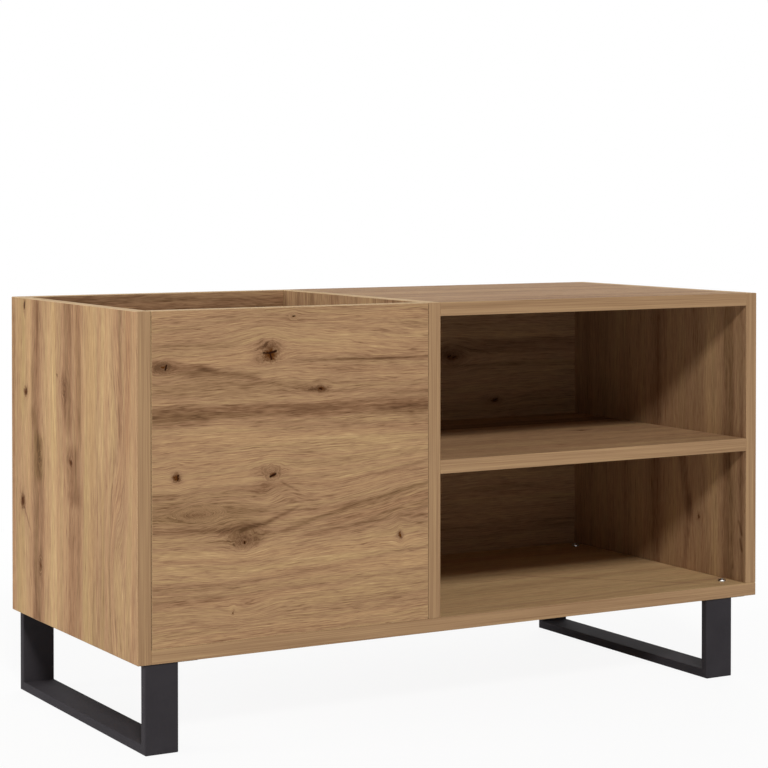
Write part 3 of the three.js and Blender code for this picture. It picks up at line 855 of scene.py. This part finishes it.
def make_boards():
    raw = chipboard("chipboard")
    along_x = [strewn_face(f"oak_x{seed}", "x", "y", seed, (LENGTH, DEPTH)) for seed in (3, 5, 7)]
    upright = [strewn_face(f"oak_z{seed}", "z", "y", seed, (HEIGHT, DEPTH)) for seed in (11, 13, 15)]
    left_outer = oak_face("left_outer", "z", "y", 21, LEFT_MARKS, 0.92, 0.07, 0.4)
    right_inner = oak_face("right_inner", "z", "y", 23, WALL_MARKS, 0.8)
    # The bay floor's lift of 0.26 paints light on it: it shows paler, as if lit more from above.
    bay_floor = oak_face("bay_floor", "x", "y", 25, FLOOR_MARKS, 0.9, 0.26)
    front = oak_face("front", "x", "z", 27, FRONT_MARKS, 1.0, 0.04)
    front_inner = strewn_face("front_inner", "x", "z", 29, (RECORD_BAY, HEIGHT))
    back_inner = strewn_face("back_inner", "x", "z", 31, (RECORD_BAY, HEIGHT))
    back_outer = strewn_face("back_outer", "x", "z", 33, (RECORD_BAY, HEIGHT))
    make_board("left_side_panel", "x", "z", left_outer, upright[0], ["-y", "+z", "+y", "-z"], raw)
    make_board("right_side_panel", "x", "z", right_inner, upright[1], ["-y", "+z", "+y"], raw)
    make_board("centre_divider", "x", "z", upright[2], upright[0], ["-y", "+z", "+y"], raw)
    make_board("bottom_panel", "z", "x", along_x[0], bay_floor, ["-y", "+y", "+x"], raw)
    make_board("top_panel", "z", "x", along_x[1], along_x[2], ["-y", "+y"], raw)
    make_board("middle_shelf", "z", "x", along_x[2], along_x[0], ["-y"], raw)
    make_board("record_bay_front_panel", "y", "x", front, front_inner, ["+z"], raw)
    make_board("record_bay_back_panel", "y", "x", back_inner, back_outer, ["+z"], raw)


def make_back_sheet():
    """The thin back sheet, wood-like in front and brown behind. The pins stand proud of it."""
    sheet = clean_copy("shelf_bay_back_panel")
    lo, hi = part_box("shelf_bay_back_panel")
    for vert in sheet.verts:
        if vert.co.y > hi.y - ON_SIDE:
            vert.co.y -= PIN_RISE
    hi.y -= PIN_RISE
    assign_faces(sheet, lo, hi, "y", 0, 1, 1, 1, 1)
    front = strewn_face("sheet_front", "x", "z", 35, (SHELF_BAY, HEIGHT), 0.8)
    materials = [front, hardboard("hardboard")]
    add_piece("back_sheet", sheet, materials, "back_sheet", "shelf_bay_back_panel")


def make_legs():
    coat = anthracite("anthracite")
    for node in ("left_leg_frame", "right_leg_frame"):
        bm = clean_copy(node)
        arrises = [
            edge for edge in bm.edges
            if len(edge.link_faces) == 2 and edge.calc_length() > LEG_ARRIS_LENGTH
            and LEG_ARRIS_TURN[0] < edge.calc_face_angle() < LEG_ARRIS_TURN[1]
        ]
        bmesh.ops.bevel(bm, geom=arrises, offset=LEG_ARRIS_ROUND, segments=2, profile=0.5, affect="EDGES")
        add_piece(f"{node}_bar", bm, [coat], "anthracite_coat", node)


def circle(radius):
    return lambda angle: radius


def hexagon(across_flats, most=100.0):
    """Outline of a hexagon, its corners cut back to a circle of radius most."""
    return lambda angle: min(across_flats / 2 / math.cos(angle % (math.pi / 3) - math.pi / 6), most)


def cross(length, width):
    def radius(angle):
        turn = abs((angle + math.pi / 4) % (math.pi / 2) - math.pi / 4)
        tip = math.tan(turn) * length <= width * 1.001
        return length / 2 / math.cos(turn) if tip else width / 2 / math.sin(turn)
    return radius


def thread(start, end, radius, depth, pitch):
    """Rings of a right-hand screw thread."""
    def ring(height):
        return lambda angle: radius - depth * abs(2 * ((height / pitch + angle / math.tau) % 1) - 1)
    steps = round((end - start) / pitch * RINGS_PER_TURN)
    heights = [start + (end - start) * i / steps for i in range(steps + 1)]
    return [(height, ring(height)) for height in heights]


def loft(bm, rings, closed=False):
    """A skin through rings of (height, outline) in mm along Z. It has end caps unless closed on itself."""
    angles = [math.tau * i / ROUND_STEPS for i in range(ROUND_STEPS)]
    loops = []
    for height, outline in rings:
        flat = [(outline(t) * math.cos(t), outline(t) * math.sin(t)) for t in angles]
        loops.append([bm.verts.new((x * MM, y * MM, height * MM)) for x, y in flat])
    pairs = list(zip(loops, loops[1:])) + ([(loops[-1], loops[0])] if closed else [])
    for low, high in pairs:
        for i in range(ROUND_STEPS):
            j = (i + 1) % ROUND_STEPS
            bm.faces.new((low[i], low[j], high[j], high[i]))
    if not closed:
        bm.faces.new(loops[0])
        bm.faces.new(loops[-1])


def add_fitting(node, bm, point, x_axis, z_axis, material, slot):
    """Places a fitting made along Z, with smooth shading over its rounds, and stands it in for the node."""
    place = Matrix((x_axis, z_axis.cross(x_axis), z_axis)).transposed().to_4x4()
    place.translation = point
    bmesh.ops.transform(bm, matrix=place, verts=bm.verts)
    bmesh.ops.recalc_face_normals(bm, faces=bm.faces)
    soften(bm)
    add_piece(f"{node}_detail", bm, [material], slot, node)


def soften(bm):
    for face in bm.faces:
        face.smooth = True
    for edge in bm.edges:
        edge.smooth = len(edge.link_faces) == 2 and edge.calc_face_angle() < SMOOTH_TURN


def leg_bolt_rings():
    """Domed head with a hexagon socket, shank and threaded tail. 0 lies under the head."""
    head, rim, crown, shank = 5.25, 0.75, 2.7, 3.0
    dome = []
    for step in range(DOME_STEPS + 1):
        turn = math.radians(90 - step * DOME_TURN)
        dome.append((rim + crown * math.cos(turn), circle(head * math.sin(turn))))
    socket = [(3.1, hexagon(4.1)), (1.6, hexagon(4.0)), (1.2, circle(0.4))]
    tail = [(-26, circle(2.3)), (-25.5, circle(2.7))] + thread(-25.4, -16, shank, 0.4, 1.0)
    neck = [(-15.8, circle(shank)), (0, circle(shank)), (0, circle(5.1)), (0.15, circle(head))]
    return tail + neck + dome + socket


def leg_nut_rings():
    """Hexagon nut with chamfered corners and a plain bore, from 0 up."""
    size, height, rim, bore, bore_rim = 10, 5, 5.05, 3.12, 3.5
    outside = [(0, hexagon(size, rim)), (0.55, hexagon(size))]
    outside += [(4.45, hexagon(size)), (height, hexagon(size, rim))]
    inside = [(height, circle(bore_rim)), (4.6, circle(bore)), (0.4, circle(bore)), (0, circle(bore_rim))]
    return outside + inside


def panel_screw_rings():
    """Countersunk head with a hexagon socket, opening towards 0, then shank, coarse thread and tip."""
    head, neck, core, neck_end, crest = 4.9, 3.45, 2, 12, 2.6
    socket = [(2.5, hexagon(4)), (0.2, hexagon(4)), (0.05, hexagon(4.3))]
    cone = [(0.05, circle(head)), (0.3, circle(head)), (4, circle(neck))]
    shank = [(neck_end, circle(neck)), (neck_end, circle(core))]
    return socket + cone + shank + thread(12.5, 46, crest, 0.9, 3.0) + [(49.8, circle(0.2))]


def cam_housing_shape(bm):
    """A face with a raised rim and a cross slot, over a ring segment. 0 is the open face."""
    side, dish, segment = 7.4, 5.6, 7.3
    rim = [(-4, circle(7.2)), (-3.8, circle(side)), (-0.35, circle(side))]
    rim += [(-0.05, circle(7.1)), (-0.05, circle(5.9)), (-0.35, circle(dish))]
    loft(bm, rim + [(-0.35, cross(9.6, 2.56)), (-1.5, cross(9, 2.4))])
    arc = [math.radians(turn) for turn in range(-54, 55, 6)]
    loops = []
    for height in (-12.1, -4.1):
        points = [(segment * math.cos(t) * MM, segment * math.sin(t) * MM, height * MM) for t in arc]
        loops.append([bm.verts.new(point) for point in points])
        bm.faces.new(loops[-1])
    for i in range(len(arc)):
        j = (i + 1) % len(arc)
        bm.faces.new((loops[0][i], loops[0][j], loops[1][j], loops[1][i]))


def make_cam(name, cast):
    lo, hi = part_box(name)
    centre = (lo + hi) / 2
    inwards = Vector((-1, 0, 0)) if "right" in name else Vector((1, 0, 0))
    if "panel" in name:
        open_to, face = Vector((0, 1, 0)), Vector((centre.x, hi.y, centre.z))
    else:
        open_to, face = Vector((0, 0, -1)), Vector((centre.x, centre.y, lo.z))
    bm = bmesh.new()
    cam_housing_shape(bm)
    add_fitting(name, bm, face, inwards, open_to, cast, "zinc_cast")


def make_turned(name, rings, closed, point, material):
    bm = bmesh.new()
    loft(bm, rings, closed)
    add_fitting(name, bm, point, Vector((1, 0, 0)), Vector((0, 0, 1)), material, "zinc_steel")


def make_fittings():
    """The fittings that show are made anew with their fine shapes. The cam bolts keep their CAD shapes."""
    steel, cast = zinc_steel("zinc_steel"), zinc_cast("zinc_cast")
    for name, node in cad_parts.items():
        lo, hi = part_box(name)
        centre = (lo + hi) / 2
        if name.startswith("cam_bolt"):
            give(node, steel)
        elif name.startswith("cam_housing"):
            make_cam(name, cast)
        elif name.startswith("leg_bolt"):
            make_turned(name, leg_bolt_rings(), False, Vector((centre.x, centre.y, FLOOR_Z)), steel)
        elif name.startswith("leg_nut"):
            make_turned(name, leg_nut_rings(), True, Vector((centre.x, centre.y, lo.z)), steel)
        elif name.startswith("panel_screw"):
            make_turned(name, panel_screw_rings(), False, Vector((centre.x, centre.y, lo.z)), steel)


def spread(start, end, spacing):
    """Places from start to end, evenly spaced at about that spacing."""
    steps = max(1, round((end - start) / spacing))
    return [start + (end - start) * i / steps for i in range(steps + 1)]


def make_pins():
    """Heads of the pins that hold the back sheet, along its border."""
    lo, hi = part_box("shelf_bay_back_panel")
    xs = spread(lo.x + PIN_BORDER, hi.x - PIN_BORDER, PIN_SPACING)
    zs = spread(lo.z + PIN_BORDER, hi.z - PIN_BORDER, PIN_SPACING)
    places = [(x, z) for x in xs for z in (zs[0], zs[-1])]
    places += [(x, z) for z in zs[1:-1] for x in (xs[0], xs[-1])]
    pins = bmesh.new()
    for x, z in places:
        head = bmesh.new()
        loft(head, [(-0.6, circle(1.0)), (-0.25, circle(1.9)), (-0.12, circle(1.9)), (-0.02, circle(1.3))])
        turn = Matrix.Translation((x, hi.y, z)) @ Matrix.Rotation(-math.pi / 2, 4, "X")
        bmesh.ops.transform(head, matrix=turn, verts=head.verts)
        mesh = bpy.data.meshes.new("pin")
        head.to_mesh(mesh)
        head.free()
        pins.from_mesh(mesh)
        bpy.data.meshes.remove(mesh)
    bmesh.ops.recalc_face_normals(pins, faces=pins.faces)
    soften(pins)
    add_piece("back_sheet_pins", pins, [zinc_steel("pin_steel")], "zinc_steel")


def give(node, material):
    for slot in node.material_slots:
        slot.link = "OBJECT"
        slot.material = material


def make_world():
    world = bpy.data.worlds.new("studio")
    bpy.context.scene.world = world
    world.use_nodes = True
    nodes, links = world.node_tree.nodes, world.node_tree.links
    nodes.clear()
    path = nodes.new("ShaderNodeLightPath")
    seen = nodes.new("ShaderNodeMath")
    seen.operation = "MAXIMUM"
    links.new(path.outputs["Is Camera Ray"], seen.inputs[0])
    links.new(path.outputs["Is Transmission Ray"], seen.inputs[1])
    bright = nodes.new("ShaderNodeMath")
    bright.operation = "MAXIMUM"
    links.new(seen.outputs[0], bright.inputs[0])
    links.new(path.outputs["Is Glossy Ray"], bright.inputs[1])
    light, white = nodes.new("ShaderNodeBackground"), nodes.new("ShaderNodeBackground")
    mix = nodes.new("ShaderNodeMixShader")
    light.inputs["Strength"].default_value = WORLD_STRENGTH
    white.inputs["Strength"].default_value = 1.0
    light.inputs["Color"].default_value = white.inputs["Color"].default_value = (1, 1, 1, 1)
    output = nodes.new("ShaderNodeOutputWorld")
    links.new(bright.outputs[0], mix.inputs[0])
    links.new(light.outputs[0], mix.inputs[1])
    links.new(white.outputs[0], mix.inputs[2])
    links.new(mix.outputs[0], output.inputs[0])


def make_lamp(name, lamp):
    light = bpy.data.lights.new(name, "AREA")
    light.shape = "SQUARE"
    light.size = lamp.size
    light.energy = lamp.power
    holder = bpy.data.objects.new(name, light)
    holder.location = lamp.place
    holder.rotation_euler = (LAMP_TARGET - Vector(lamp.place)).to_track_quat("-Z", "Y").to_euler()
    holder.visible_glossy = lamp.mirrored
    bpy.context.scene.collection.objects.link(holder)


def make_floor():
    """Pale floor that fades to white away from the object and keeps its shadow."""
    tree = Tree("floor")
    x, y, _ = tree.place()
    tree.set("Base Color", paint(243, 243, 243))
    tree.set("Roughness", 0.8)
    path = tree.node("ShaderNodeLightPath")
    away = tree.math("SQRT", x * x + y * y).step(*FLOOR_FADE, FLOOR_WHITE_NEAR, FLOOR_WHITE_FAR)
    glow = tree.node("ShaderNodeEmission")
    mixed = tree.node("ShaderNodeMixShader")
    tree.feed(mixed.inputs[0], away * Num(tree, path.outputs["Is Camera Ray"]))
    tree.links.new(tree.surface.outputs[0], mixed.inputs[1])
    tree.links.new(glow.outputs[0], mixed.inputs[2])
    tree.links.new(mixed.outputs[0], tree.output.inputs[0])
    bm = bmesh.new()
    bmesh.ops.create_grid(bm, x_segments=4, y_segments=4, size=FLOOR_REACH)
    mesh = bpy.data.meshes.new("floor")
    bm.to_mesh(mesh)
    bm.free()
    mesh.materials.append(tree.material)
    floor = bpy.data.objects.new("floor", mesh)
    bpy.context.scene.collection.objects.link(floor)


make_camera()
bpy.context.scene.view_settings.view_transform = "Standard"
make_world()
for name, lamp in LAMPS.items():
    make_lamp(name, lamp)
make_floor()
make_boards()
make_back_sheet()
make_legs()
make_fittings()
make_pins()
